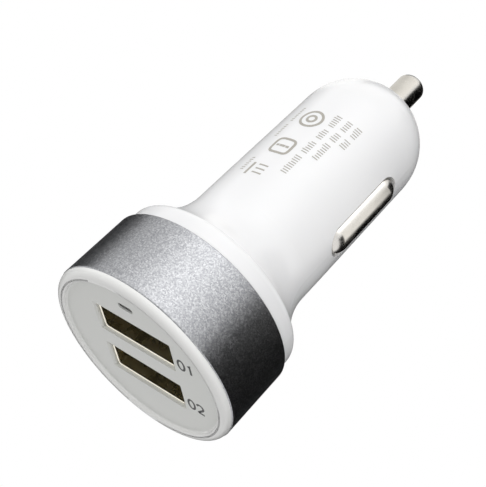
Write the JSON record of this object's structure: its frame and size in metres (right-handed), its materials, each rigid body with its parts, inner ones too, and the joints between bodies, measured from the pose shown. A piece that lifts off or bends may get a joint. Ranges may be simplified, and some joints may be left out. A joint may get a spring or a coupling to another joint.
{
  "type": "car_usb_charger",
  "caption": "White car USB charger with a round nose, spring contacts, a grey bead-blasted metal ring round the head and two USB ports, one above the other, under a small light.",
  "frame": {"origin": "Middle of the front bezel's rim, on the surface that the rim rests on with the tip upwards.", "axes": "+Z runs along the plug from the bezel to the centre tip. +X runs along the long side of the ports, through the right side contact. -Y points to the side of the status light."},
  "size_m": [0.0308, 0.0308, 0.0683],
  "materials": {
    "white_shell": "polished moulded white",
    "white_bezel": "fine satin moulded white",
    "grey_ring": "bead blasted, grey anodised",
    "light_lens": "clear frosted",
    "circuit_board": "green solder mask",
    "port_metal": "warm plated sheet",
    "port_insert": "moulded black",
    "gold_pins": "gold plated",
    "ferrite": "sintered grey",
    "copper_wire": "enamelled copper",
    "can_sleeve": "coated can",
    "chip_black": "moulded black",
    "ceramic": "fired ceramic with tinned ends",
    "spring_brass": "rolled strip",
    "spring_steel": "drawn wire",
    "nickel": "polished nickel plate"
  },
  "bodies": {
    "housing": {"body_shell": "white_shell", "metal_ring": "grey_ring", "front_bezel": "white_bezel", "light_guide": "light_lens", "status_light": "light_lens", "round_board": "circuit_board", "long_board": "circuit_board", "upper_port_shell": "port_metal", "lower_port_shell": "port_metal", "upper_port_tongue": "port_insert", "lower_port_tongue": "port_insert", "upper_port_pins": "gold_pins", "lower_port_pins": "gold_pins", "choke_core": "ferrite", "choke_winding": "copper_wire", "input_capacitor": "can_sleeve", "output_capacitor": "can_sleeve", "converter_chip": "chip_black", "charge_chip": "chip_black", "power_diode": "chip_black", "chip_fuse": "ceramic", "small_chips": "ceramic", "tip_cup": "spring_brass", "tip_spring": "spring_steel", "right_leaf": "spring_brass", "left_leaf": "spring_brass"},
    "tip": {"centre_tip": "nickel"},
    "contact_right": {"right_contact": "nickel"},
    "contact_left": {"left_contact": "nickel"}
  },
  "joints": [
    {"name": "tip_press", "type": "slide", "parent": "housing", "child": "tip", "axis": [0, 0, -1], "range_m": [0, 0.0025], "stiffness_N_per_m": 600, "springref_m": -0.001, "deforming": ["tip_spring"]},
    {"name": "right_contact_press", "type": "slide", "parent": "housing", "child": "contact_right", "axis": [-1, 0, 0], "range_m": [0, 0.0011], "stiffness_N_per_m": 600, "springref_m": -0.0005, "deforming": ["right_leaf"]},
    {"name": "left_contact_press", "type": "slide", "parent": "housing", "child": "contact_left", "axis": [1, 0, 0], "range_m": [0, 0.0011], "stiffness_N_per_m": 600, "springref_m": -0.0005, "deforming": ["left_leaf"]}
  ]
}
